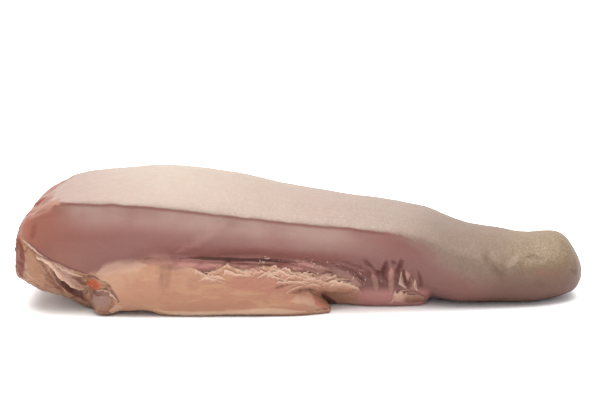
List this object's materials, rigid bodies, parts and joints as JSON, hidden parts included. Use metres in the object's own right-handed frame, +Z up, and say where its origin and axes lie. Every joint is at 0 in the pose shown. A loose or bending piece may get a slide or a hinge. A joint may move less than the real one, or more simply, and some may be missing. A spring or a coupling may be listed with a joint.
{
  "type": "raw beef tongue",
  "caption": "Whole raw beef tongue, trimmed at the root, with a rough back, smooth sides, slabs of fat below and a blunt tip, lying on its cut underside.",
  "frame": {"origin": "on the resting surface, under the middle of the tongue's bounding box", "axes": "+X from the root to the tip, +Z up through the rough back, +Y towards the tongue's left-hand side as it lies"},
  "size_m": [0.34, 0.1004, 0.0806],
  "materials": {
    "tongue": "moist raw meat: rough cream back, smooth mauve sides, cream fat and red-brown cut muscle"
  },
  "bodies": {
    "root": {"beef_tongue": "tongue"}
  },
  "joints": []
}
